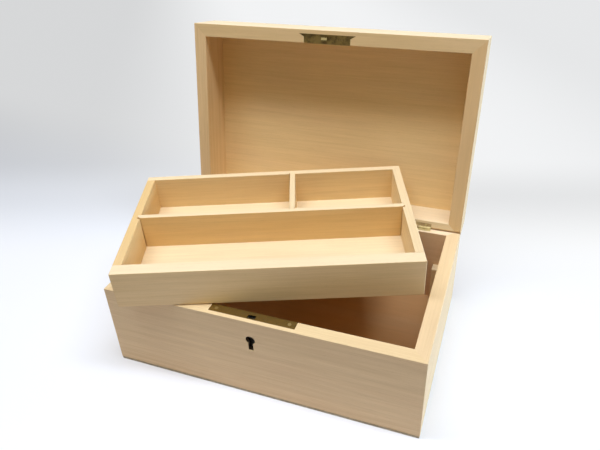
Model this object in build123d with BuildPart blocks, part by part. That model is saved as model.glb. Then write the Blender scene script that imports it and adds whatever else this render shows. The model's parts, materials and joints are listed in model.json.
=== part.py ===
"""Sewing carrier: a lockable wooden box, its hinged lid open and its lift-out tray lying askew on top.

Right is +X, back is +Y and up is +Z. The origin is the centre of the underside of the pad that the box
stands on. Lengths are in millimetres and angles in degrees.
"""
from build123d import *
import os
from math import atan2, cos, degrees, radians, sin, tan

# ---- Box body ----
box_width = 300.0
box_depth = 195.0
body_wall = 13.0
body_height = 87.5
bottom_thickness = 6.0
bottom_rebate = 6.0
pad_thickness = 2.0
pad_inset = 0.2
post_size = 10.0
stow_drop = 0.5

# ---- Lid ----
lid_wall = 13.0
lid_hollow = 39.0
panel_thickness = 7.0
panel_rebate = 6.0
lid_gap = 0.2
open_angle = 100.0

# ---- Hinges ----
hinge_inset = 5.0
hinge_edge = 30.0
hinge_length = 38.0
lid_knuckle_length = 14.0
knuckle_radius = 1.9
knuckle_gap = 0.2
pin_radius = 0.8
pin_clearance = 0.05
leaf_thickness = 1.0
leaf_width = 5.2
hinge_screw_end = 5.5

# ---- Screws ----
screw_clearance = 0.05
hinge_screw_head = 1.2
hinge_screw_shank = 0.7
hinge_screw_length = 9.0
lock_screw_head = 1.7
lock_screw_shank = 0.9
lock_screw_length = 10.0
case_screw_point = 1.5
slot_width = 0.45
slot_depth = 0.35

# ---- Lock: depths behind the front face and drops below the rim ----
lock_x = -2.2
lock_skin = 4.0
inlay_gap = 0.1
selvedge_width = 81.0
selvedge_thickness = 1.6
selvedge_screw_x = 34.5
plate_width = 57.0
plate_height = 35.0
plate_thickness = 1.2
case_width = 56.0
case_height = 33.0
case_shell = 1.2
case_setback = 0.2
case_screw_x = 22.0
case_screw_drop = 29.0
keyhole_drop = 21.0
keyhole_radius = 4.5
keyhole_slot_width = 4.8
keyhole_slot_reach = 12.0
drill_pin_radius = 1.0
bolt_thickness = 3.2
bolt_clearance = 0.2
bolt_bar_width = 44.0
bolt_bar_top = 9.5
bolt_bar_height = 4.0
bolt_arm_x = 7.0
bolt_tongue_x = 3.3
bolt_tongue_top = 3.2
bolt_tongue_height = 3.0
talon_width = 5.0
talon_height = 2.0
spring_thickness = 0.5
spring_width = 2.8
spring_top = 3.6
spring_bend_x = 20.0
spring_heel_x = 12.0
spring_toe_x = 8.0

# ---- Hook and link plate of the lid ----
hook_middle = 7.2
hook_thickness = 2.4
hook_half_width = 2.9
hook_shank_width = 2.2
hook_foot_top = 6.5
hook_foot_height = 2.5
hook_slot_gap = 0.8
link_width = 48.0
link_ear_width = 58.8
link_ear_depth = 3.0
link_thickness = 1.6
link_screw_x = 14.5
link_screw_depth = 8.5

# ---- Tray ----
tray_side_clearance = 1.5
tray_end_clearance = 2.25
tray_height = 38.0
tray_front_board = 13.0
tray_back_board = 7.0
tray_side_board = 8.0
tray_floor_thickness = 3.0
tray_floor_rebate = 4.0
divider_thickness = 6.0
divider_housing = 2.5
housing_slack = 0.5
short_divider_housing = 2.0
long_divider_y = 5.5
short_divider_x = 20.7

# ---- How the tray lies on the open box ----
tray_yaw = 20.5
tray_x = -22.9
rest_gap = 0.25
corner_gap = 0.5

# ---- The tray fits inside the body ----
tray_width = box_width - 2 * (body_wall + tray_side_clearance)
tray_depth = box_depth - 2 * (body_wall + tray_end_clearance)

# ---- Levels, measured from the joint plane halfway between the two rims ----
joint_z = pad_thickness + body_height + lid_gap / 2
body_rim = -lid_gap / 2
body_foot = body_rim - body_height
bottom_top = body_foot + bottom_thickness
lid_rim = lid_gap / 2
panel_face = lid_rim + lid_hollow
lid_top = panel_face + panel_thickness
front_y = -box_depth / 2
hinge_y = box_depth / 2 - hinge_inset

# ---- Where the body and the lid stand ----
body_place = Pos(0, 0, joint_z)
lid_place = Pos(0, hinge_y, joint_z) * Rot(-open_angle, 0, 0) * Pos(0, -hinge_y, 0)

# ---- Where the tray stands: on the front rim and on the inner edge of the lid's back wall ----
swing = radians(open_angle)
ledge_reach = lid_wall - hinge_inset
ledge_y = hinge_y - ledge_reach * cos(swing) + lid_rim * sin(swing)
ledge_z = ledge_reach * sin(swing) + lid_rim * cos(swing)
tray_slope = atan2(ledge_z - body_rim, ledge_y - front_y)
corner_reach = (
    lid_hollow + lid_rim - corner_gap + (hinge_y - front_y) * sin(swing) - (body_rim + rest_gap) * cos(swing)
) / sin(swing + tray_slope)
tray_turn = radians(tray_yaw)
tray_y = corner_reach - tray_width / 2 * sin(tray_turn) - tray_depth / 2 * cos(tray_turn)
tray_lie = Pos(0, front_y, joint_z + body_rim + rest_gap) * Rot(degrees(tray_slope), 0, 0)
tray_place = tray_lie * Pos(tray_x, tray_y, 0) * Rot(0, 0, tray_yaw)


def on(place, plane):
    """The plane carried to where its piece stands."""
    return Plane(place * plane.location)


def block(place, corner, opposite, mode=Mode.ADD):
    """A box between two opposite corners."""
    low = [min(pair) for pair in zip(corner, opposite)]
    high = [max(pair) for pair in zip(corner, opposite)]
    with BuildSketch(on(place, Plane.XY.offset(low[2]))) as outline:
        with Locations(((low[0] + high[0]) / 2, (low[1] + high[1]) / 2)):
            Rectangle(high[0] - low[0], high[1] - low[1])
    extrude(outline.sketch, amount=high[2] - low[2], mode=mode)


def prism(plane, corners, height, mode=Mode.ADD):
    """A straight prism on a closed outline."""
    with BuildSketch(plane) as outline:
        with BuildLine():
            Polyline(*corners, close=True)
        make_face()
    extrude(outline.sketch, amount=height, mode=mode)


def rod(place, radius, ends, centre, mode=Mode.ADD):
    """A round rod along X between two ends, about the given Y and Z."""
    with BuildSketch(on(place, Plane.YZ.offset(ends[0]))) as outline:
        with Locations(centre):
            Circle(radius)
    extrude(outline.sketch, amount=ends[1] - ends[0], mode=mode)


def screw(seat, head, shank, length, mode=Mode.ADD):
    """A countersunk wood screw, its head flush with the seat plane and its point below it."""
    side = Plane(origin=seat.origin, x_dir=seat.x_dir, z_dir=-seat.y_dir)
    outline = [(0, 0), (head, 0), (shank, shank - head), (shank, shank - length), (0, -length)]
    with BuildSketch(side) as profile:
        with BuildLine():
            Polyline(*outline, close=True)
        make_face()
    revolve(profile.sketch, axis=Axis(seat.origin, seat.z_dir), mode=mode)


def screws(seats, sizes):
    """A group of alike slotted screws; the sizes are head radius, shank radius and length."""
    head = sizes[0]
    for seat in seats:
        screw(seat, *sizes)
    for seat in seats:
        with BuildSketch(seat) as slot:
            Rectangle(2 * head + slot_width, slot_width)
        extrude(slot.sketch, amount=-slot_depth, mode=Mode.SUBTRACT)


def screw_holes(seats, sizes):
    """Clearance holes for a group of alike screws."""
    for seat in seats:
        screw(seat, *[size + screw_clearance for size in sizes], mode=Mode.SUBTRACT)


def mitred_wall(place, side, wall, low, high, panel):
    """One wall of a mitred frame, rebated for the panel that closes it."""
    outer_x = box_width / 2
    outer_y = box_depth / 2
    inner_x = outer_x - wall
    inner_y = outer_y - wall
    outer = [(-outer_x, -outer_y), (outer_x, -outer_y), (outer_x, outer_y), (-outer_x, outer_y)]
    inner = [(-inner_x, -inner_y), (inner_x, -inner_y), (inner_x, inner_y), (-inner_x, inner_y)]
    start = ["front", "right", "back", "left"].index(side)
    end = (start + 1) % len(outer)
    corners = [outer[start], outer[end], inner[end], inner[start]]
    prism(on(place, Plane.XY.offset(low)), corners, high - low)
    block(place, *panel, mode=Mode.SUBTRACT)


def stop_bevel(place, facing):
    """Cuts the back edge behind the pin line, so that the body and the open lid meet face to face."""
    half = radians(open_angle / 2)
    start_y = hinge_y - lid_rim * sin(half) + lid_rim * tan(half / 2) * cos(half)
    reach = 2 * hinge_inset
    start = (start_y, facing * lid_rim)
    end = (start_y + reach, facing * (lid_rim + reach * tan(half)))
    corners = [start, end, (end[0], -facing), (start_y, -facing)]
    prism(on(place, Plane.YZ.offset(-box_width)), corners, 2 * box_width, mode=Mode.SUBTRACT)


def hinge_seats(place, centres, facing):
    """Screw seats of the leaves on one rim; facing is 1 where the rim looks up in the closed box."""
    line_y = hinge_y - (knuckle_radius + knuckle_gap + leaf_width) / 2
    pitch = hinge_length / 2 - hinge_screw_end
    return [
        on(place, Plane((x + step * pitch, line_y, -facing * lid_rim), z_dir=(0, 0, facing)))
        for x in centres
        for step in (-1, 0, 1)
    ]


def hinge_recess(place, facing):
    """Lets both hinges into one back wall: leaf recesses, barrel grooves and screw holes."""
    for x in hinge_centres:
        ends = (x - hinge_length / 2 - inlay_gap, x + hinge_length / 2 + inlay_gap)
        front = hinge_y - leaf_width - inlay_gap
        seat = -facing * lid_rim
        foot = seat - facing * leaf_thickness
        block(place, (ends[0], front, foot), (ends[1], hinge_y, facing), Mode.SUBTRACT)
        rod(place, knuckle_radius + knuckle_gap, ends, (hinge_y, 0), Mode.SUBTRACT)
    screw_holes(hinge_seats(place, hinge_centres, facing), hinge_screw)


def hinge_leaf(place, centre, facing, knuckles):
    """One hinge leaf with its knuckles."""
    seat = -facing * lid_rim
    back = seat - facing * leaf_thickness
    ends = (centre - hinge_length / 2, centre + hinge_length / 2)
    front = hinge_y - leaf_width
    block(place, (ends[0], front, seat), (ends[1], hinge_y - knuckle_radius - knuckle_gap, back))
    for knuckle in knuckles:
        block(place, (knuckle[0], front, seat), (knuckle[1], hinge_y, back))
        rod(place, knuckle_radius, knuckle, (hinge_y, 0))
    rod(place, pin_radius + pin_clearance, ends, (hinge_y, 0), Mode.SUBTRACT)
    screw_holes(hinge_seats(place, [centre], facing), hinge_screw)


def body_knuckles(centre):
    """Ends of the two outer knuckles of a hinge."""
    near = (lid_knuckle_length + knuckle_gap) / 2
    far = hinge_length / 2
    return [(centre - far, centre - near), (centre + near, centre + far)]


def lid_knuckle(centre):
    """Ends of the middle knuckle of a hinge."""
    near = (lid_knuckle_length - knuckle_gap) / 2
    return [(centre - near, centre + near)]


def lock_point(x, depth, drop):
    """A point of the lock, from its middle, the front face and the rim."""
    return (lock_x + x, front_y + depth, body_rim - drop)


def lock_block(x_span, depth_span, drop_span, mode=Mode.ADD):
    """A box in the lock, from spans of X, depth and drop."""
    first, last = zip(x_span, depth_span, drop_span)
    block(body_place, lock_point(*first), lock_point(*last), mode)


def lock_plane(depth):
    """The upright plane at a depth behind the front face; its origin is at the lock's middle and the rim."""
    return on(body_place, Plane(lock_point(0, depth, 0), x_dir=(1, 0, 0), z_dir=(0, -1, 0)))


def keyhole(depth_span):
    """Cuts the keyhole: a round top over a straight slot."""
    with BuildSketch(lock_plane(depth_span[0])) as outline:
        with Locations((0, -keyhole_drop)):
            Circle(keyhole_radius)
        with Locations((0, -keyhole_drop - keyhole_slot_reach / 2)):
            Rectangle(keyhole_slot_width, keyhole_slot_reach)
    extrude(outline.sketch, amount=depth_span[0] - depth_span[1], mode=Mode.SUBTRACT)


def spread(span):
    """A span with its middle at zero."""
    return (-span / 2, span / 2)


# ---- What several pieces share ----
hinge_screw = (hinge_screw_head, hinge_screw_shank, hinge_screw_length)
lock_screw = (lock_screw_head, lock_screw_shank, lock_screw_length)
hinge_centre = box_width / 2 - hinge_edge - hinge_length / 2
hinge_centres = (-hinge_centre, hinge_centre)
bottom_x = box_width / 2 - body_wall + bottom_rebate
bottom_y = box_depth / 2 - body_wall + bottom_rebate
bottom_panel = ((-bottom_x, -bottom_y, body_foot), (bottom_x, bottom_y, bottom_top))
panel_x = box_width / 2 - lid_wall + panel_rebate
panel_y = box_depth / 2 - lid_wall + panel_rebate
lid_panel_box = ((-panel_x, -panel_y, panel_face), (panel_x, panel_y, lid_top))
body_frame = (body_wall, body_foot, body_rim, bottom_panel)
lid_frame = (lid_wall, lid_rim, lid_top, lid_panel_box)

plate_back = lock_skin + plate_thickness
case_back = body_wall - case_setback
case_span = (plate_back, case_back)
case_drops = (selvedge_thickness, selvedge_thickness + case_height)
room_half = case_width / 2 - case_shell
room_back = case_back - case_shell
room_top = selvedge_thickness + case_shell
room_foot = case_drops[1] - case_shell
hook_span = (hook_middle - hook_thickness / 2, hook_middle + hook_thickness / 2)
hook_slot_x = spread(2 * (hook_half_width + hook_slot_gap))
hook_slot_depth = (hook_span[0] - hook_slot_gap, hook_span[1] + hook_slot_gap)
bolt_front = plate_back + bolt_clearance
bolt_span = (bolt_front, bolt_front + bolt_thickness)

selvedge_seats = [
    on(body_place, Plane(lock_point(x, (lock_skin + body_wall) / 2, 0), x_dir=(1, 0, 0), z_dir=(0, 0, 1)))
    for x in spread(2 * selvedge_screw_x)
]
case_seats = [
    on(body_place, Plane(lock_point(x, case_back, case_screw_drop), x_dir=(1, 0, 0), z_dir=(0, 1, 0)))
    for x in spread(2 * case_screw_x)
]
case_screw = (lock_screw_head, lock_screw_shank, case_back - case_screw_point)
link_screw_y = front_y + link_screw_depth
link_seats = [
    on(lid_place, Plane((lock_x + x, link_screw_y, lid_rim), x_dir=(1, 0, 0), z_dir=(0, 0, -1)))
    for x in spread(2 * link_screw_x)
]
link_outline = [
    (lock_x - link_ear_width / 2, front_y + lock_skin),
    (lock_x + link_ear_width / 2, front_y + lock_skin),
    (lock_x + link_width / 2, front_y + lock_skin + link_ear_depth),
    (lock_x + link_width / 2, front_y + lid_wall),
    (lock_x - link_width / 2, front_y + lid_wall),
    (lock_x - link_width / 2, front_y + lock_skin + link_ear_depth),
]

tray_half_x = tray_width / 2
tray_half_y = tray_depth / 2
tray_inner_x = tray_half_x - tray_side_board
tray_inner_front = tray_front_board - tray_half_y
tray_inner_back = tray_half_y - tray_back_board
tray_floor_box = (
    (-tray_inner_x - tray_floor_rebate, tray_inner_front - tray_floor_rebate, 0),
    (tray_inner_x + tray_floor_rebate, tray_inner_back + tray_floor_rebate, tray_floor_thickness),
)
long_divider_front = long_divider_y - divider_thickness / 2
long_divider_back = long_divider_y + divider_thickness / 2
long_divider_box = (
    (-tray_inner_x - divider_housing, long_divider_front, tray_floor_thickness),
    (tray_inner_x + divider_housing, long_divider_back, tray_height),
)
long_housing = (
    (-tray_inner_x - divider_housing, long_divider_front - housing_slack, tray_floor_thickness),
    long_divider_box[1],
)
short_divider_left = short_divider_x - divider_thickness / 2
short_divider_right = short_divider_x + divider_thickness / 2
short_divider_box = (
    (short_divider_left, long_divider_back - short_divider_housing, tray_floor_thickness),
    (short_divider_right, tray_inner_back + divider_housing, tray_height),
)

# ---- Body: mitred walls, bottom, pad and the posts that carry the stowed tray ----
lock_room = (lock_skin, body_wall)
with BuildPart() as base_front:
    mitred_wall(body_place, "front", *body_frame)
    lock_block(spread(selvedge_width + 2 * inlay_gap), lock_room, (0, selvedge_thickness), Mode.SUBTRACT)
    lock_block(spread(plate_width + 2 * inlay_gap), lock_room, (0, plate_height), Mode.SUBTRACT)
    keyhole((0, lock_skin))
    screw_holes(selvedge_seats, lock_screw)
    screw_holes(case_seats, case_screw)

with BuildPart() as base_back:
    mitred_wall(body_place, "back", *body_frame)
    stop_bevel(body_place, -1)
    hinge_recess(body_place, 1)

with BuildPart() as base_left:
    mitred_wall(body_place, "left", *body_frame)
    stop_bevel(body_place, -1)

with BuildPart() as base_right:
    mitred_wall(body_place, "right", *body_frame)
    stop_bevel(body_place, -1)

with BuildPart() as base_bottom:
    block(body_place, *bottom_panel)

with BuildPart() as base_pad:
    block(
        body_place,
        (pad_inset - box_width / 2, pad_inset - box_depth / 2, body_foot - pad_thickness),
        (box_width / 2 - pad_inset, box_depth / 2 - pad_inset, body_foot),
    )

posts = {}
post_top = body_rim - stow_drop - tray_height
for post_name, x_side, y_side in (
    ("front_left", -1, -1), ("front_right", 1, -1), ("back_left", -1, 1), ("back_right", 1, 1)
):
    corner = (x_side * (box_width / 2 - body_wall), y_side * (box_depth / 2 - body_wall), bottom_top)
    with BuildPart() as post:
        block(
            body_place,
            corner,
            (corner[0] - x_side * post_size, corner[1] - y_side * post_size, post_top),
        )
    posts["base_post_" + post_name] = post

# ---- Lock ----
with BuildPart() as lock_plate:
    lock_block(spread(selvedge_width), lock_room, (0, selvedge_thickness))
    lock_block(spread(plate_width), (lock_skin, plate_back), (0, plate_height))
    lock_block(hook_slot_x, hook_slot_depth, (0, selvedge_thickness), Mode.SUBTRACT)
    keyhole((lock_skin, plate_back))
    screw_holes(selvedge_seats, lock_screw)
    screw_holes(case_seats, case_screw)

with BuildPart() as lock_cap:
    lock_block(spread(case_width), case_span, case_drops)
    lock_block((-room_half, room_half), (plate_back, room_back), (room_top, room_foot), Mode.SUBTRACT)
    lock_block(hook_slot_x, (plate_back, hook_slot_depth[1]), (selvedge_thickness, room_top), Mode.SUBTRACT)
    screw_holes(case_seats, case_screw)

with BuildPart() as lock_drill_pin:
    with BuildSketch(lock_plane(room_back)):
        with Locations((0, -keyhole_drop)):
            Circle(drill_pin_radius)
    extrude(amount=room_back - plate_back)

spring_foot = bolt_bar_top - bolt_clearance
with BuildPart() as lock_spring:
    with BuildSketch(lock_plane(bolt_span[0])):
        with BuildLine():
            Polyline(
                (-room_half, -spring_top),
                (-spring_bend_x, -spring_top),
                (-spring_heel_x, spring_thickness - spring_foot),
                (-spring_toe_x, spring_thickness - spring_foot),
                (-spring_toe_x, -spring_foot),
                (-spring_heel_x, -spring_foot),
                (-spring_bend_x, -spring_top - spring_thickness),
                (-room_half, -spring_top - spring_thickness),
                close=True,
            )
        make_face()
    extrude(amount=-spring_width)

bolt_half = bolt_bar_width / 2
bar_drops = (bolt_bar_top, bolt_bar_top + bolt_bar_height)
tongue_drops = (bolt_tongue_top, bolt_tongue_top + bolt_tongue_height)
with BuildPart() as lock_bolt:
    lock_block((-bolt_half, bolt_half), bolt_span, bar_drops)
    lock_block((bolt_arm_x, bolt_half), bolt_span, (bolt_tongue_top, bolt_bar_top))
    lock_block((bolt_tongue_x, bolt_arm_x), bolt_span, tongue_drops)
    lock_block(spread(talon_width), bolt_span, (bar_drops[1] - talon_height, bar_drops[1]), Mode.SUBTRACT)

with BuildPart() as lock_plate_screws:
    screws(selvedge_seats, lock_screw)

with BuildPart() as lock_case_screws:
    screws(case_seats, case_screw)

# ---- Hinges ----
hinges = {}
for hinge_name, centre in (("hinge_left", -hinge_centre), ("hinge_right", hinge_centre)):
    with BuildPart() as base_leaf:
        hinge_leaf(body_place, centre, 1, body_knuckles(centre))
    with BuildPart() as lid_leaf:
        hinge_leaf(lid_place, centre, -1, lid_knuckle(centre))
    with BuildPart() as pin:
        rod(body_place, pin_radius, (centre - hinge_length / 2, centre + hinge_length / 2), (hinge_y, 0))
    hinges[hinge_name + "_base_leaf"] = base_leaf
    hinges[hinge_name + "_lid_leaf"] = lid_leaf
    hinges[hinge_name + "_pin"] = pin

with BuildPart() as hinge_base_screws:
    screws(hinge_seats(body_place, hinge_centres, 1), hinge_screw)

with BuildPart() as hinge_lid_screws:
    screws(hinge_seats(lid_place, hinge_centres, -1), hinge_screw)

# ---- Lid: mitred walls, panel, link plate and hook ----
with BuildPart() as lid_front:
    mitred_wall(lid_place, "front", *lid_frame)
    prism(on(lid_place, Plane.XY.offset(lid_rim)), link_outline, link_thickness, Mode.SUBTRACT)
    screw_holes(link_seats, lock_screw)

with BuildPart() as lid_back:
    mitred_wall(lid_place, "back", *lid_frame)
    stop_bevel(lid_place, 1)
    hinge_recess(lid_place, -1)

with BuildPart() as lid_left:
    mitred_wall(lid_place, "left", *lid_frame)
    stop_bevel(lid_place, 1)

with BuildPart() as lid_right:
    mitred_wall(lid_place, "right", *lid_frame)
    stop_bevel(lid_place, 1)

with BuildPart() as lid_panel:
    block(lid_place, *lid_panel_box)

hook_left = lock_x - hook_half_width
hook_right = lock_x + hook_half_width
shank_right = hook_left + hook_shank_width
hook_top = lid_rim + link_thickness
hook_foot = body_rim - hook_foot_top - hook_foot_height
with BuildPart() as lid_hook:
    block(
        lid_place,
        (hook_left, front_y + hook_span[0], hook_foot),
        (shank_right, front_y + hook_span[1], hook_top),
    )
    block(
        lid_place,
        (hook_left, front_y + hook_span[0], hook_foot),
        (hook_right, front_y + hook_span[1], hook_foot + hook_foot_height),
    )

with BuildPart() as link_plate:
    prism(on(lid_place, Plane.XY.offset(lid_rim)), link_outline, link_thickness)
    block(
        lid_place,
        (hook_left, front_y + hook_span[0], lid_rim),
        (shank_right, front_y + hook_span[1], hook_top),
        Mode.SUBTRACT,
    )
    screw_holes(link_seats, lock_screw)

with BuildPart() as link_screws:
    screws(link_seats, lock_screw)

# ---- Tray: four boards, a floor and two dividers ----
with BuildPart() as tray_front:
    block(tray_place, (-tray_half_x, -tray_half_y, 0), (tray_half_x, tray_inner_front, tray_height))
    block(tray_place, *tray_floor_box, mode=Mode.SUBTRACT)

with BuildPart() as tray_back:
    block(tray_place, (-tray_half_x, tray_inner_back, 0), (tray_half_x, tray_half_y, tray_height))
    block(tray_place, *tray_floor_box, mode=Mode.SUBTRACT)
    block(tray_place, *short_divider_box, mode=Mode.SUBTRACT)

with BuildPart() as tray_left:
    block(tray_place, (-tray_half_x, tray_inner_front, 0), (-tray_inner_x, tray_inner_back, tray_height))
    block(tray_place, *tray_floor_box, mode=Mode.SUBTRACT)
    block(tray_place, *long_housing, mode=Mode.SUBTRACT)

with BuildPart() as tray_right:
    block(tray_place, (tray_inner_x, tray_inner_front, 0), (tray_half_x, tray_inner_back, tray_height))
    block(tray_place, *tray_floor_box, mode=Mode.SUBTRACT)
    block(tray_place, *long_housing, mode=Mode.SUBTRACT)

with BuildPart() as tray_floor:
    block(tray_place, *tray_floor_box)

with BuildPart() as tray_long_divider:
    block(tray_place, *long_divider_box)
    block(tray_place, *short_divider_box, mode=Mode.SUBTRACT)

with BuildPart() as tray_short_divider:
    block(tray_place, *short_divider_box)

# ---- Files ----
pieces = {
    "base_front": base_front,
    "base_back": base_back,
    "base_left": base_left,
    "base_right": base_right,
    "base_bottom": base_bottom,
    "base_pad": base_pad,
    "lock_plate": lock_plate,
    "lock_cap": lock_cap,
    "lock_drill_pin": lock_drill_pin,
    "lock_spring": lock_spring,
    "lock_bolt": lock_bolt,
    "lock_plate_screws": lock_plate_screws,
    "lock_case_screws": lock_case_screws,
    "hinge_base_screws": hinge_base_screws,
    "hinge_lid_screws": hinge_lid_screws,
    "lid_front": lid_front,
    "lid_back": lid_back,
    "lid_left": lid_left,
    "lid_right": lid_right,
    "lid_panel": lid_panel,
    "lid_hook": lid_hook,
    "link_plate": link_plate,
    "link_screws": link_screws,
    "tray_front": tray_front,
    "tray_back": tray_back,
    "tray_left": tray_left,
    "tray_right": tray_right,
    "tray_floor": tray_floor,
    "tray_long_divider": tray_long_divider,
    "tray_short_divider": tray_short_divider,
    **posts,
    **hinges,
}
os.makedirs("parts", exist_ok=True)
for name, piece in pieces.items():
    piece.part.label = name
    export_step(piece.part, f"parts/{name}.step")
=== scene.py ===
"""The looks of an open sewing box: eased boards, aged brass, plain steel lock works and a baize pad.

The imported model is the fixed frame. Right is +X, back is +Y and up is +Z. Lengths are in metres.
"""

import json
from math import cos, pi, radians, sin

import bmesh
import bpy
from mathutils import Matrix, Vector, noise


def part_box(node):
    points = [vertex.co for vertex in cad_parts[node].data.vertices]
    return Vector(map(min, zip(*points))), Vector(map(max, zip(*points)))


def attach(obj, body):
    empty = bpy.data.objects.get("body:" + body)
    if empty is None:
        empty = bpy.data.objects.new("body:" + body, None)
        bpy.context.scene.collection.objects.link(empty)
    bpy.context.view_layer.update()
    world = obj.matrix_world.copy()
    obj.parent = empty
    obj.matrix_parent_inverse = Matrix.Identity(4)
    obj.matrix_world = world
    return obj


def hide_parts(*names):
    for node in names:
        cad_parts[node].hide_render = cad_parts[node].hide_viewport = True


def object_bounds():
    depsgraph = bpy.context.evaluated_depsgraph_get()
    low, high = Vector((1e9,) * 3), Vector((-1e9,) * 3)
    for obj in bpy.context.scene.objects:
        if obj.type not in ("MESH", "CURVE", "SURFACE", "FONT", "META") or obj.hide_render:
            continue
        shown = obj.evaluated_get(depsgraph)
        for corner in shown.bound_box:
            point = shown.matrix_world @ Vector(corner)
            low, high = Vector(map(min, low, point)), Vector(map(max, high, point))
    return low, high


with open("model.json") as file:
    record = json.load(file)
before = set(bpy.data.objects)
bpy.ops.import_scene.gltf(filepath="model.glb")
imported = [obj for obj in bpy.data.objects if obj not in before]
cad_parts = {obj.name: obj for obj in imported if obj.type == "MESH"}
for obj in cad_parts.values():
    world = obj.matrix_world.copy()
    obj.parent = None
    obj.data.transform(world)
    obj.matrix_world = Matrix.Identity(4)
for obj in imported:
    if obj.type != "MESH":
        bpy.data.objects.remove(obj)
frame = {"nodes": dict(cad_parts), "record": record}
nodes = frame["nodes"]
cad_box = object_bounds()
box_middle = (cad_box[0] + cad_box[1]) / 2
body_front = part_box("base_front")[0].y
keyhole_axis = sum(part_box("lock_drill_pin"), Vector()) / 2
slot_of = {part["node"]: part["material_slot"] for part in frame["record"]["subparts"]}
bodies = frame["record"]["behaviour"]["bodies"]
body_of = {node: body for body, members in bodies.items() for node in members}

# ---- Camera ----
camera_place = (0.17797, -0.42224, 0.42192)
camera_yaw = radians(-21.652)
camera_pitch = radians(32.696)
camera_roll = radians(-2.460)
camera_lens = 34.571
camera_sensor = 36.0
camera_clip = (0.01, 50.0)

# ---- Light: where each lamp hangs, its length and breadth, and what it adds to white that faces it ----
key_place = (0.01, -0.165, 1.37)
key_size = (1.75, 0.22)
key_level = 1.17
key_tint = (0.93, 1.01, 1.18)
top_place = (0.10, -0.10, 2.2)
top_size = (2.4, 2.4)
top_level = 0.34
top_tint = (0.96, 1.0, 1.08)
sky_level = 0.17
sky_tint = (1.0, 0.77, 0.38, 1.0)
side_place = (2.0, 0.45, 0.20)
side_size = (0.6, 0.3)
side_level = 0.80
side_tint = (0.56, 0.90, 1.40)

# ---- Floor: the light it passes on, and how much of its white is its own where it is seen ----
floor_half = 8.0
floor_squares = 12
paper_white = (0.98, 0.99, 1.0)
paper_dimming = 0.93
near_bounce = (0.79, 0.74, 0.82, 1.0)
far_bounce = (0.10, 0.10, 0.10, 1.0)
floor_glow = 0.15

# ---- Floor: each fade begins and ends so many metres out, with its level at both ends; the paper's fades are painted shade ----
table_fade = (0.12, 0.30, 1.0, 0.80)
left_fade = (-0.35, 0.15, 0.69, 0.91)
right_fade = (0.45, 0.95, 0.0, 0.1)
turn_fade = (0.28, 0.42)
far_fade = (0.5, 1.3, floor_glow, 1.0)
back_fade = (0.0, 0.35, floor_glow, 1.0)
bounce_fade = (-0.45, -0.25)

# ---- Eased arrises: how round each kind is, and the flats that make up a round ----
outer_radius = 0.0006
inner_radius = 0.0004
foot_radius = 0.0014
stop_radius = 0.0016
arris_flats = 3
smooth_angle = radians(32.0)
dent_angle = radians(0.2)
square_enough = 0.01
snap = 1e-6
speck = 1e-9

# ---- The dividers: the slack of their housings, and the notches at both ends of the long one ----
divider_slack = 0.0005
divider_housing = 0.0025
notch_reach = 0.0010
notch_slant = 0.8

# ---- The stop bevels along the back edges of the rims ----
stop_angle = radians(50.0)
stop_back = 0.00505
stop_gap = 0.0009

# ---- The painted shade inside the keyhole: its middle under the drill pin, its squared reach, its depths ----
bore_drop = 0.0045
bore_reach = (0.00009, 0.00010)
bore_start = (0.0006, 0.0010)
bore_end = (0.014, 0.016)
# The dark colour painted on the walls of the keyhole's bore is painted shade.
keyhole_painted_shade = (0.05, 0.03, 0.015, 1.0)

# ---- Wear: how far from flat an arris must be to show it, and how far in it runs on each material ----
wear_shows = (0.005, 0.16)
wood_wear = 0.0012
brass_wear = 0.0005
steel_wear = 0.0004


class Level:
    """A socket of a finish, so that sums on it read as plain arithmetic."""

    def __init__(self, finish, socket):
        self.finish = finish
        self.socket = socket

    def math(self, operation, *values):
        return self.finish.node("ShaderNodeMath", {"operation": operation}, dict(enumerate(values)))

    def __add__(self, other):
        return self.math("ADD", self, other)

    def __radd__(self, other):
        return self.math("ADD", other, self)

    def __sub__(self, other):
        return self.math("SUBTRACT", self, other)

    def __rsub__(self, other):
        return self.math("SUBTRACT", other, self)

    def __mul__(self, other):
        return self.math("MULTIPLY", self, other)

    def __rmul__(self, other):
        return self.math("MULTIPLY", other, self)

    def __pow__(self, other):
        return self.math("POWER", self, other)

    def output(self, name):
        """Another output of the same node."""
        return Level(self.finish, self.socket.node.outputs[name])


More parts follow.
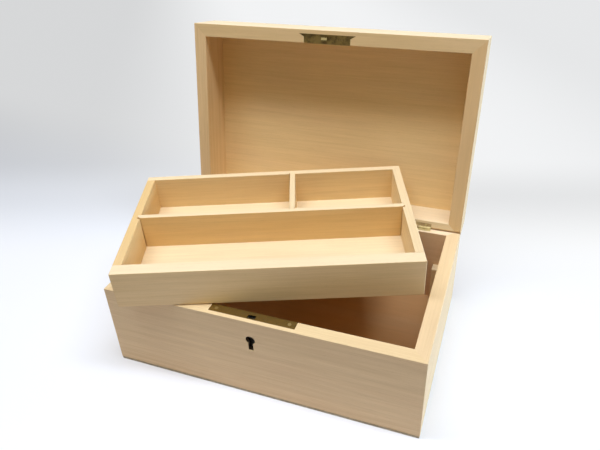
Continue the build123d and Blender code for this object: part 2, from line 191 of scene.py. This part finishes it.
class Finish:
    """The node tree of one finish."""

    def __init__(self, tree):
        self.tree = tree
        self.tree.nodes.clear()

    def node(self, kind, settings, sockets, output=0):
        """Adds a node: its settings first, then the values or links of its sockets."""
        made = self.tree.nodes.new(kind)
        for name, value in settings.items():
            setattr(made, name, value)
        for name, value in sockets.items():
            if isinstance(value, Level):
                self.tree.links.new(value.socket, made.inputs[name])
            else:
                made.inputs[name].default_value = value
        return Level(self, made.outputs[output]) if made.outputs else None

    def lumps(self, place, per_metre, detail, roughness=0.5):
        """Smooth noise from 0 to 1, with about so many lumps to the metre along each axis."""
        spaced = self.node("ShaderNodeVectorMath", {"operation": "MULTIPLY"}, {0: place, 1: per_metre})
        sockets = {"Vector": spaced, "Scale": 1.0, "Detail": detail, "Roughness": roughness}
        return self.node("ShaderNodeTexNoise", {}, sockets)

    def step(self, value, low, high, start=0.0, end=1.0):
        """A smooth step from start to end, as the value goes from low to high."""
        settings = {"interpolation_type": "SMOOTHSTEP"}
        sockets = {"Value": value, "From Min": low, "From Max": high, "To Min": start, "To Max": end}
        return self.node("ShaderNodeMapRange", settings, sockets)

    def blend(self, share, first, second):
        """Two colours mixed by a share."""
        return self.node("ShaderNodeMix", {"data_type": "RGBA"}, {0: share, 6: first, 7: second}, output=2)

    def shaded(self, colour, level):
        """A colour made darker or lighter by a level about 1."""
        return self.node("ShaderNodeVectorMath", {"operation": "SCALE"}, {0: colour, "Scale": level})

    def worn(self, reach):
        """0 on open faces, rising to 1 on the arrises within reach."""
        rounded = self.node("ShaderNodeBevel", {"samples": 6}, {"Radius": reach})
        true = self.node("ShaderNodeNewGeometry", {}, {}, "Normal")
        normals = {0: rounded, 1: true}
        likeness = self.node("ShaderNodeVectorMath", {"operation": "DOT_PRODUCT"}, normals, "Value")
        return self.step(1 - likeness, *wear_shows)

    def shade_painted_in_keyhole(self, place, colour):
        """A colour darkened to a painted shade inside the keyhole's bore, and left as it is elsewhere."""
        split = self.node("ShaderNodeSeparateXYZ", {}, {0: place})
        aside = split.output("X") - keyhole_axis.x
        above = split.output("Z") - keyhole_axis.z + bore_drop
        behind = split.output("Y") - body_front
        near = self.step(aside * aside + above * above, *bore_reach, 1.0, 0.0)
        inside = near * self.step(behind, *bore_start) * self.step(behind, *bore_end, 1.0, 0.0)
        return self.blend(inside, colour, keyhole_painted_shade)

    def bumped(self, height, depth, strength):
        """A normal raised by a height from 0 to 1, its full depth in metres."""
        return self.node("ShaderNodeBump", {}, {"Height": height, "Distance": depth, "Strength": strength})

    def surface(self, sockets):
        """Ends the tree with one Principled shader."""
        shader = self.node("ShaderNodeBsdfPrincipled", {}, sockets)
        self.node("ShaderNodeOutputMaterial", {}, {"Surface": shader})


def new_material(name):
    """A new material with an empty tree, and that tree."""
    material = bpy.data.materials.new(name)
    material.use_nodes = True
    return material, Finish(material.node_tree)


def object_from(mesh, name):
    """Turns a finished mesh into an object of the scene."""
    data = bpy.data.meshes.new(name)
    mesh.to_mesh(data)
    mesh.free()
    made = bpy.data.objects.new(name, data)
    bpy.context.scene.collection.objects.link(made)
    return made


def wear(piece, material):
    """Gives a piece one material all over."""
    piece.data.materials.clear()
    piece.data.materials.append(material)


# ---- How each board lies ----
def span_along(points, axis):
    """The lowest and highest reach of some points along an axis."""
    reaches = [point.dot(axis) for point in points]
    return min(reaches), max(reaches)


def middle_of(points, axes):
    """The middle of the box round some points, square to the axes."""
    return sum((sum(span_along(points, axis)) / 2 * axis for axis in axes), Vector())


def points_of(node):
    return [vertex.co.copy() for vertex in nodes[node].data.vertices]


def board_axes(node):
    """The grain, width and thickness directions of a board, read from its faces."""
    areas = {}
    for face in nodes[node].data.polygons:
        largest = max(face.normal, key=abs)
        direction = face.normal if largest > 0 else -face.normal
        key = tuple(round(share, 2) for share in direction)
        area, first = areas.get(key, (0.0, direction.copy()))
        areas[key] = (area + face.area, first)
    ranked = [direction for area, direction in sorted(areas.values(), key=lambda pair: -pair[0])]
    thickness = ranked[0]
    one_way = next(direction for direction in ranked if abs(direction.dot(thickness)) < square_enough)
    other_way = thickness.cross(one_way)
    reach = {}
    for axis in (one_way, other_way):
        low, high = span_along(points_of(node), axis)
        reach[high - low] = axis.normalized()
    grain = reach[max(reach)]
    return grain, thickness.cross(grain), thickness


# ---- Wood ----
cream = (0.85, 0.70, 0.46, 1.0)
amber = (0.82, 0.54, 0.21, 1.0)
russet = (0.71, 0.41, 0.17, 1.0)
umber = (0.68, 0.39, 0.27, 1.0)
rosy = (0.79, 0.56, 0.305, 1.0)
pale = (0.825, 0.635, 0.345, 1.0)
deep = (0.65, 0.45, 0.205, 1.0)
pore = (0.42, 0.27, 0.14, 1.0)
burnish = (0.62, 0.44, 0.26, 1.0)

# ---- Wood: its rings, and how many of each mark go to the metre along, across and through a board ----
rings_per_metre = 330.0
ring_wander = 0.012
plank_shift = 0.173
wander_spacing = (3.0, 22.0, 22.0)
patch_spacing = (5.0, 38.0, 38.0)
fibre_spacing = (22.0, 1400.0, 1400.0)
streak_spacing = (10.0, 210.0, 210.0)
cloud_spacing = (7.0, 26.0, 26.0)
fleck_spacing = (190.0, 2100.0, 2100.0)
wood_roughness = (0.50, 0.66)
grain_depth = 0.00008


def wood(name, node, tone, cast, share, top_light_share, heart):
    """Close-grained pale hardwood, with its rings about a heart outside the board.

    tone goes from 0, pale, to 1, deep; cast is a colour and share is how much of it the board takes;
    the top light share is how far the faces that look up are paled towards cream: painted light on the
    tops; heart is how far off the heart lies, across and behind the face.
    """
    axes = board_axes(node)
    turn = Matrix(axes)
    middle = turn @ middle_of(points_of(node), axes)
    seat = Vector((len(name) * plank_shift, *heart)) - middle

    material, finish = new_material(name)
    place = finish.node("ShaderNodeTexCoord", {}, {}, "Object")
    lie = {"Vector": place, "Location": seat, "Rotation": turn.to_euler()}
    board = finish.node("ShaderNodeMapping", {"vector_type": "POINT"}, lie)
    split = finish.node("ShaderNodeSeparateXYZ", {}, {0: board})
    across = split.output("Y")
    behind = split.output("Z")
    facing = finish.node("ShaderNodeTexCoord", {}, {}, "Normal")
    upward = finish.node("ShaderNodeSeparateXYZ", {}, {0: facing}).output("Z")

    wander = finish.lumps(board, wander_spacing, 2.0) - 0.5
    radius = (across * across + behind * behind) ** 0.5 + ring_wander * wander
    ring = radius.math("FRACT", radius * rings_per_metre)
    late = finish.step(ring, 0.30, 0.92) - finish.step(ring, 0.92, 1.0)
    patch = finish.lumps(board, patch_spacing, 1.0)
    fibres = finish.lumps(board, fibre_spacing, 3.0, 0.6)
    streaks = finish.lumps(board, streak_spacing, 3.0, 0.6)
    clouds = finish.lumps(board, cloud_spacing, 3.0)
    flecks = finish.step(finish.lumps(board, fleck_spacing, 1.0), 0.64, 0.76)
    edge = finish.worn(wood_wear)

    figure = 0.30 * late * patch + 0.6 * (fibres - 0.5) + 0.65 * (streaks - 0.5)
    depth = figure + 0.6 * (clouds - 0.5) + tone
    ground = finish.blend(finish.step(depth, -0.3, 1.1), pale, deep)
    tinged = finish.blend(share, ground, cast)
    # Faces that look up are paled towards cream: painted light on the tops.
    lit_tops = finish.blend(finish.step(upward, 0.75, 0.97, 0.0, top_light_share), tinged, cream)
    warmed = finish.blend(finish.step(clouds, 0.45, 0.75, 0.0, 0.3), lit_tops, rosy)
    pored = finish.blend(0.18 * flecks, warmed, pore)
    handled = finish.blend(edge * finish.step(streaks, 0.35, 0.7, 0.0, 0.16), pored, burnish)
    grained = finish.shaded(handled, 1.0 - 0.14 * (streaks - 0.5) - 0.16 * (fibres - 0.5))
    shown = finish.shade_painted_in_keyhole(place, grained)
    height = 0.6 * fibres + 0.2 * late - 0.5 * flecks
    finish.surface({
        "Base Color": shown,
        "Roughness": finish.step(fibres + 0.3 * flecks - 0.3 * edge, 0.2, 0.9, *wood_roughness),
        "Normal": finish.bumped(height, grain_depth, 0.5),
    })
    return material


# ---- Metals and cloth ----
old_spot = (0.10, 0.07, 0.035, 1.0)
wiped_steel = (0.46, 0.45, 0.43, 1.0)
oiled_steel = (0.20, 0.17, 0.13, 1.0)
baize_shadow = (0.34, 0.30, 0.19, 1.0)
baize_nap = (0.66, 0.58, 0.38, 1.0)
brush_depth = 0.00003
polish_depth = 0.00002
nap_depth = 0.0004


def brass(name, bright, dull, tarnish, gleam, rough):
    """Aged satin brass.

    tarnish is the share of it that has gone dull, gleam is how bare the metal is, and rough its roughness.
    """
    material, finish = new_material(name)
    place = finish.node("ShaderNodeTexCoord", {}, {}, "Object")
    patches = finish.lumps(place, (120.0, 120.0, 120.0), 5.0, 0.62)
    spots = finish.lumps(place, (900.0, 900.0, 900.0), 3.0, 0.6)
    rubs = finish.lumps(place, (60.0, 2600.0, 2600.0), 2.0)
    edge = finish.worn(brass_wear)
    dulled = patches + 0.25 * (spots - 0.5) - 0.5 * edge
    aged = finish.step(dulled, 0.72 - tarnish, 0.98 - tarnish)
    colour = finish.blend(aged, bright, dull)
    flecked = finish.blend(finish.step(spots, 0.62, 0.74, 0.0, 0.4), colour, old_spot)
    shown = finish.shade_painted_in_keyhole(place, flecked)
    finish.surface({
        "Base Color": shown,
        "Metallic": finish.step(spots, 0.45, 0.8, gleam, 0.8 * gleam),
        "Roughness": rough + 0.2 * aged + 0.12 * rubs,
        "Normal": finish.bumped(0.7 * rubs + 0.5 * spots, brush_depth, 0.5),
    })
    return material


def steel(name):
    """Plain satin steel with a little old oil in it."""
    material, finish = new_material(name)
    place = finish.node("ShaderNodeTexCoord", {}, {}, "Object")
    patches = finish.lumps(place, (150.0, 150.0, 150.0), 4.0, 0.6)
    rubs = finish.lumps(place, (80.0, 80.0, 3000.0), 2.0)
    edge = finish.worn(steel_wear)
    oiled = finish.step(patches - 0.3 * edge, 0.4, 0.75)
    finish.surface({
        "Base Color": finish.blend(oiled, wiped_steel, oiled_steel),
        "Metallic": 1.0,
        "Roughness": 0.3 + 0.2 * oiled + 0.1 * rubs,
        "Normal": finish.bumped(rubs, polish_depth, 0.5),
    })
    return material


def baize(name):
    """Olive felted wool, its nap lying in short tufts."""
    material, finish = new_material(name)
    place = finish.node("ShaderNodeTexCoord", {}, {}, "Object")
    nap = finish.lumps(place, (1500.0, 1500.0, 1500.0), 4.0, 0.7)
    tufts = finish.lumps(place, (260.0, 260.0, 260.0), 3.0, 0.6)
    shade = finish.step(0.6 * nap + 0.6 * tufts, 0.35, 0.85)
    finish.surface({
        "Base Color": finish.blend(shade, baize_shadow, baize_nap),
        "Roughness": 0.95,
        "Sheen Weight": 0.4,
        "Sheen Roughness": 0.5,
        "Normal": finish.bumped(0.6 * nap + 0.4 * tufts, nap_depth, 0.8),
    })
    return material


# ---- Eased copies of the boards ----
def plane_off(mesh, point, way):
    """Planes a board down to the plane through a point, square to the way it faces."""
    everything = mesh.verts[:] + mesh.edges[:] + mesh.faces[:]
    bmesh.ops.bisect_plane(
        mesh, geom=everything, dist=snap, plane_co=point, plane_no=way, clear_outer=True
    )
    bmesh.ops.remove_doubles(mesh, verts=mesh.verts, dist=snap)
    rim = [edge for edge in mesh.edges if len(edge.link_faces) == 1]
    bmesh.ops.triangle_fill(mesh, use_beauty=True, edges=rim, normal=way)


def ease(mesh, point, first, second, radius):
    """Rounds the arris through a point, between the faces that look first and second way."""
    centre = point - radius * (first + second) / (1 + first.dot(second))
    for flat in range(arris_flats):
        way = first.slerp(second, (flat + 1) / (arris_flats + 1))
        plane_off(mesh, centre + radius * way, way)


def shade_rounds(data):
    """Shades the flats of each arris as one round, and leaves the broad faces flat."""
    looks = [tuple(round(share, 2) for share in face.normal) for face in data.polygons]
    breadth = {}
    meeting = {}
    for face, look in zip(data.polygons, looks):
        breadth[look] = breadth.get(look, 0.0) + face.area
        for corner in face.vertices:
            meeting.setdefault(corner, {})[look] = face.normal.copy()
    normals = []
    for face in data.polygons:
        for corner in face.vertices:
            total = face.normal * speck
            for look, normal in meeting[corner].items():
                if normal.dot(face.normal) > cos(smooth_angle):
                    total += breadth[look] * normal
            normals.append(total.normalized())
    data.shade_smooth()
    data.normals_split_custom_set(normals)


def eased_board(node, arrises, cuts=()):
    """A copy of a board with its free arrises rounded, which stands for the plain one.

    Each cut is a point and the way it faces, where the board is planed down to stand clear of another.
    """
    mesh = bmesh.new()
    mesh.from_mesh(nodes[node].data)
    bmesh.ops.remove_doubles(mesh, verts=mesh.verts, dist=snap)
    bmesh.ops.dissolve_limit(mesh, angle_limit=dent_angle, verts=mesh.verts, edges=mesh.edges)
    for cut in cuts:
        plane_off(mesh, *cut)
    for arris in arrises:
        ease(mesh, *arris)
    bmesh.ops.triangulate(mesh, faces=[face for face in mesh.faces if len(face.verts) > 4])
    board = object_from(mesh, node + "_eased")
    shade_rounds(board.data)
    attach(board, body_of[node])
    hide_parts(node)


def outer_arrises(spans, axes, rim):
    """The twelve outer arrises of a box, rounder at the foot, the end that looks away from the rim."""
    middle = sum((sum(span) / 2 * axis for span, axis in zip(spans, axes)), Vector())
    half = [(span[1] - span[0]) / 2 for span in spans]
    found = []
    for first, second in ((0, 1), (0, 2), (1, 2)):
        for near in (-1, 1):
            for far in (-1, 1):
                ways = (near * axes[first], far * axes[second])
                point = middle + half[first] * ways[0] + half[second] * ways[1]
                radius = foot_radius if ways[1].dot(rim) < -0.5 else outer_radius
                found.append((point, *ways, radius))
    return found


def corner_point(points, *ways):
    """The point of the box round some points that lies furthest in each of three square ways."""
    return sum((span_along(points, way)[1] * way for way in ways), Vector())


def ease_case(closing, walls, dividers=(), posts=(), back=None):
    """Eases the boards of a body, lid or tray: outside all round, and the rims inside.

    back is the back wall, where the rims fall away in a stop bevel.
    """
    axes = board_axes(closing)
    grain, width, thickness = axes
    everything = [point for node in (closing, *walls) for point in points_of(node)]
    spans = [span_along(everything, axis) for axis in axes]
    middle = middle_of(everything, axes)
    lift = (middle - middle_of(points_of(closing), axes)).dot(thickness)
    rim = thickness if lift > 0 else -thickness
    outside = outer_arrises(spans, axes, rim)
    stops = []
    if back:
        behind = middle_of(points_of(back), axes) - middle
        behind -= behind.dot(rim) * rim
        behind.normalize()
        start = corner_point(everything, rim, behind, rim.cross(behind)) - (stop_back + stop_gap) * behind
        stops = [(start, rim, cos(stop_angle) * rim + sin(stop_angle) * behind, stop_radius)]
    for wall in walls:
        offset = middle_of(points_of(wall), axes) - middle
        shares = [offset.dot(axis) / (span[1] - span[0]) for axis, span in zip((grain, width), spans)]
        way = grain if abs(shares[0]) > abs(shares[1]) else width
        inward = -way if offset.dot(way) > 0 else way
        side = rim.cross(inward)
        point = corner_point(points_of(wall), inward, rim, side)
        cuts = [(point, way) for point, first, way, radius in stops]
        eased_board(wall, outside + stops + [(point, inward, rim, inner_radius)], cuts)
    for divider in dividers:
        along, across, through = board_axes(divider)
        loose = through if through.y + through.x < 0 else -through
        found = []
        for way, slack in ((loose, divider_slack), (-loose, 0.0)):
            point = corner_point(points_of(divider), way, rim, along) - slack * way
            found.append((point, way, rim, inner_radius))
        cuts = [(found[0][0], loose)]
        for end in (along, -along):
            corner = corner_point(points_of(divider), loose, rim, end)
            foot = corner - (divider_housing + notch_reach) * end
            cuts.append((foot, (loose + notch_slant * end).normalized()))
        eased_board(divider, found, cuts if divider == dividers[0] else cuts[:1])
    for post in posts:
        offset = middle_of(points_of(post), axes) - middle
        ways = [-axis if offset.dot(axis) > 0 else axis for axis in (grain, width)]
        point = corner_point(points_of(post), *ways, rim)
        pairs = ((ways[0], ways[1]), (ways[0], rim), (ways[1], rim))
        eased_board(post, [(point, first, second, inner_radius) for first, second in pairs])


# ---- The pad under the box ----
felt_spacing = 0.004
felt_waver = 0.0003
felt_waves = 90.0


def felt_pad(node):
    """A sheet of felt with a cut, slightly wavering edge."""
    low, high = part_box(node)
    mesh = bmesh.new()
    counts = [max(2, round((high[axis] - low[axis]) / felt_spacing)) for axis in (0, 1)]
    bmesh.ops.create_grid(mesh, x_segments=counts[0], y_segments=counts[1], size=0.5)
    size = high - low
    middle = (low + high) / 2
    for vertex in mesh.verts:
        waves = 0.5 + 0.5 * noise.noise(Vector((vertex.co.x, vertex.co.y, 0.0)) * felt_waves)
        shrink = [1 - 2 * felt_waver * waves / size[axis] for axis in (0, 1)]
        x = middle.x + vertex.co.x * size.x * shrink[0]
        y = middle.y + vertex.co.y * size.y * shrink[1]
        vertex.co = (x, y, low.z)
    whole = bmesh.ops.extrude_face_region(mesh, geom=mesh.faces[:])
    lifted = [part for part in whole["geom"] if isinstance(part, bmesh.types.BMVert)]
    bmesh.ops.translate(mesh, verts=lifted, vec=(0, 0, size.z))
    bmesh.ops.recalc_face_normals(mesh, faces=mesh.faces)
    pad = object_from(mesh, "baize_pad")
    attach(pad, body_of[node])
    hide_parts(node)
    return pad


body_walls = ("base_front", "base_back", "base_left", "base_right")
post_corners = ("front_left", "front_right", "back_left", "back_right")
body_posts = tuple(f"base_post_{corner}" for corner in post_corners)
lid_walls = ("lid_front", "lid_back", "lid_left", "lid_right")
tray_walls = ("tray_front", "tray_back", "tray_left", "tray_right")
tray_dividers = ("tray_long_divider", "tray_short_divider")
ease_case("base_bottom", body_walls, posts=body_posts, back="base_back")
ease_case("lid_panel", lid_walls, back="lid_back")
ease_case("tray_floor", tray_walls, dividers=tray_dividers)

# ---- Which board is cut from which part of the plank: tone, cast, share of the cast, and share of painted top light ----
# The deeper, redder tones of the body's bottom, back and right walls and of the lid's and tray's left
# walls are partly the wood's own and partly painted shade.
plank = {
    "base_front": (0.18, rosy, 0.15, 0.0),
    "base_back": (0.25, umber, 0.45, 0.75),
    "base_left": (0.20, cream, 0.0, 0.3),
    "base_right": (0.40, russet, 0.40, 0.30),
    "base_bottom": (0.60, russet, 1.0, 0.0),
    "lid_front": (0.95, amber, 0.0, 0.8),
    "lid_back": (0.50, cream, 0.4, 0.75),
    "lid_left": (0.50, russet, 0.28, 0.0),
    "lid_right": (1.1, russet, 0.3, 0.0),
    "lid_panel": (0.02, amber, 0.50, 0.0),
    "tray_front": (0.26, amber, 0.45, 0.75),
    "tray_back": (-0.02, amber, 0.35, 0.5),
    "tray_left": (1.10, amber, 0.50, 0.0),
    "tray_right": (0.02, cream, 0.1, 0.2),
    "tray_floor": (-0.02, cream, 0.4, 0.0),
    "tray_long_divider": (0.22, amber, 0.7, 0.65),
    "tray_short_divider": (0.20, cream, 0.0, 0.3),
}
plain_cut = (0.2, cream, 0.2, 0.2)


def heart_of(count):
    """How far across and behind its face a board has the heart of its rings, each board its own."""
    return 0.05 * sin(1.9 * count + 0.6), 0.075 + 0.045 * cos(2.7 * count)


boards = [node for node, slot in slot_of.items() if slot.endswith("_wood")]
for count, node in enumerate(boards):
    piece = bpy.data.objects.get(node + "_eased", nodes[node])
    wear(piece, wood(f"{node}_wood", node, *plank.get(node, plain_cut), heart_of(count)))

# ---- Metal pieces: each brass has its bright and dull colours, tarnish, gleam and roughness ----
brass_stock = {
    "rim_brass": ((0.38, 0.30, 0.13, 1.0), (0.22, 0.16, 0.055, 1.0), 0.2, 1.0, 0.10),
    "dark_brass": ((0.15, 0.10, 0.03, 1.0), (0.055, 0.036, 0.012, 1.0), 0.3, 1.0, 0.26),
    "screw_brass": ((0.52, 0.42, 0.20, 1.0), (0.28, 0.20, 0.08, 1.0), 0.15, 1.0, 0.26),
    "hinge_brass": ((0.56, 0.44, 0.19, 1.0), (0.40, 0.29, 0.11, 1.0), 0.2, 0.35, 0.5),
    "leaf_brass": ((0.56, 0.41, 0.20, 1.0), (0.40, 0.27, 0.12, 1.0), 0.4, 0.15, 0.6),
}
brasses = {name: brass(name, *stock) for name, stock in brass_stock.items()}
lock_steel = steel("lock_steel")
brass_of = {
    "lid_hook": "rim_brass",
    "link_plate": "dark_brass",
    "link_screws": "dark_brass",
    "lock_plate_screws": "screw_brass",
    "hinge_left_lid_leaf": "leaf_brass",
    "hinge_right_lid_leaf": "leaf_brass",
}
for node, slot in slot_of.items():
    if slot == "brass":
        usual = "rim_brass" if node.startswith("lock") else "hinge_brass"
        wear(nodes[node], brasses[brass_of.get(node, usual)])
    if slot == "steel":
        wear(nodes[node], lock_steel)
wear(felt_pad("base_pad"), baize("olive_baize"))


# ---- Floor, sky, lamps and camera ----
def seen_directly(finish):
    """1 for rays from the camera or from metal and gloss, and 0 for the light that surfaces pass on."""
    path = finish.node("ShaderNodeLightPath", {}, {}, "Is Camera Ray")
    gloss = path.math("MAXIMUM", path.output("Is Glossy Ray"), path.output("Is Transmission Ray"))
    return path.math("MAXIMUM", path, gloss)


def studio_floor():
    """A white paper floor that takes the shadows, with painted shade greying it further back and towards
    the sides; where it is seen, part of its white is its own.
    """
    mesh = bmesh.new()
    bmesh.ops.create_grid(mesh, x_segments=floor_squares, y_segments=floor_squares, size=floor_half)
    floor = object_from(mesh, "floor")
    material, finish = new_material("white_paper")
    place = finish.node("ShaderNodeTexCoord", {}, {}, "Object")
    across = finish.node("ShaderNodeSeparateXYZ", {}, {0: place})
    back = across.output("Y")
    beyond = back - 0.3 * across
    aside = across + 0.6 * back
    # The paper's shade, greying further back and towards the sides, is painted shade for the light falling
    # off across the table and the wall.
    table = finish.step(beyond, *table_fade)
    wall = finish.step(aside, *left_fade) - finish.step(aside, *right_fade)
    shade = table + finish.step(beyond, *turn_fade) * (wall - table)
    paper = finish.shaded(paper_white, shade)
    lit = finish.node("ShaderNodeBsdfDiffuse", {}, {"Color": finish.shaded(paper, paper_dimming)})
    white = finish.node("ShaderNodeEmission", {}, {"Color": paper, "Strength": 1.0})
    away = (across * across + back * back) ** 0.5
    far = finish.step(away, *far_fade)
    glow = far.math("MAXIMUM", far, finish.step(beyond + 0.5 * across, *back_fade))
    seen = finish.node("ShaderNodeMixShader", {}, {0: glow, 1: lit, 2: white})
    bounce = finish.blend(finish.step(back, *bounce_fade), far_bounce, near_bounce)
    unseen = finish.node("ShaderNodeBsdfDiffuse", {}, {"Color": bounce})
    mixed = finish.node("ShaderNodeMixShader", {}, {0: seen_directly(finish), 1: unseen, 2: seen})
    finish.node("ShaderNodeOutputMaterial", {}, {"Surface": mixed})
    wear(floor, material)


def studio_sky():
    """A dim even room, white where it is seen."""
    world = bpy.data.worlds.new("studio")
    bpy.context.scene.world = world
    world.use_nodes = True
    finish = Finish(world.node_tree)
    room = finish.node("ShaderNodeBackground", {}, {"Color": sky_tint, "Strength": sky_level})
    white = finish.node("ShaderNodeBackground", {}, {"Color": (1.0, 1.0, 1.0, 1.0), "Strength": 1.0})
    mixed = finish.node("ShaderNodeMixShader", {}, {0: seen_directly(finish), 1: room, 2: white})
    finish.node("ShaderNodeOutputWorld", {}, {"Surface": mixed})


def lamp(name, place, size, level, tint):
    """A soft oblong lamp, long from left to right; level is what it adds to white that faces it."""
    light = bpy.data.lights.new(name, "AREA")
    light.shape = "RECTANGLE"
    light.size = size[0]
    light.size_y = size[1]
    light.color = tint
    way = Vector(place) - box_middle
    light.energy = level * (pi * way.length) ** 2
    lamp_object = bpy.data.objects.new(name, light)
    bpy.context.scene.collection.objects.link(lamp_object)
    lamp_object.location = place
    lamp_object.rotation_euler = way.to_track_quat("Z", "Y").to_euler()


def camera():
    """The camera from its place, and its turns in yaw, pitch and roll."""
    level = Vector((sin(camera_yaw), cos(camera_yaw), 0.0))
    ahead = cos(camera_pitch) * level - sin(camera_pitch) * Vector((0.0, 0.0, 1.0))
    right = Vector((cos(camera_yaw), -sin(camera_yaw), 0.0))
    up = right.cross(ahead)
    rolled_right = cos(camera_roll) * right + sin(camera_roll) * up
    rolled_up = cos(camera_roll) * up - sin(camera_roll) * right
    data = bpy.data.cameras.new("camera")
    data.lens = camera_lens
    data.sensor_width = camera_sensor
    data.sensor_fit = "HORIZONTAL"
    data.clip_start, data.clip_end = camera_clip
    made = bpy.data.objects.new("camera", data)
    bpy.context.scene.collection.objects.link(made)
    turn = Matrix((rolled_right, rolled_up, -ahead)).transposed().to_4x4()
    made.matrix_world = Matrix.Translation(camera_place) @ turn
    bpy.context.scene.camera = made


studio_floor()
studio_sky()
lamp("key", key_place, key_size, key_level, key_tint)
lamp("top", top_place, top_size, top_level, top_tint)
lamp("side", side_place, side_size, side_level, side_tint)
camera()
bpy.context.scene.view_settings.view_transform = "Standard"
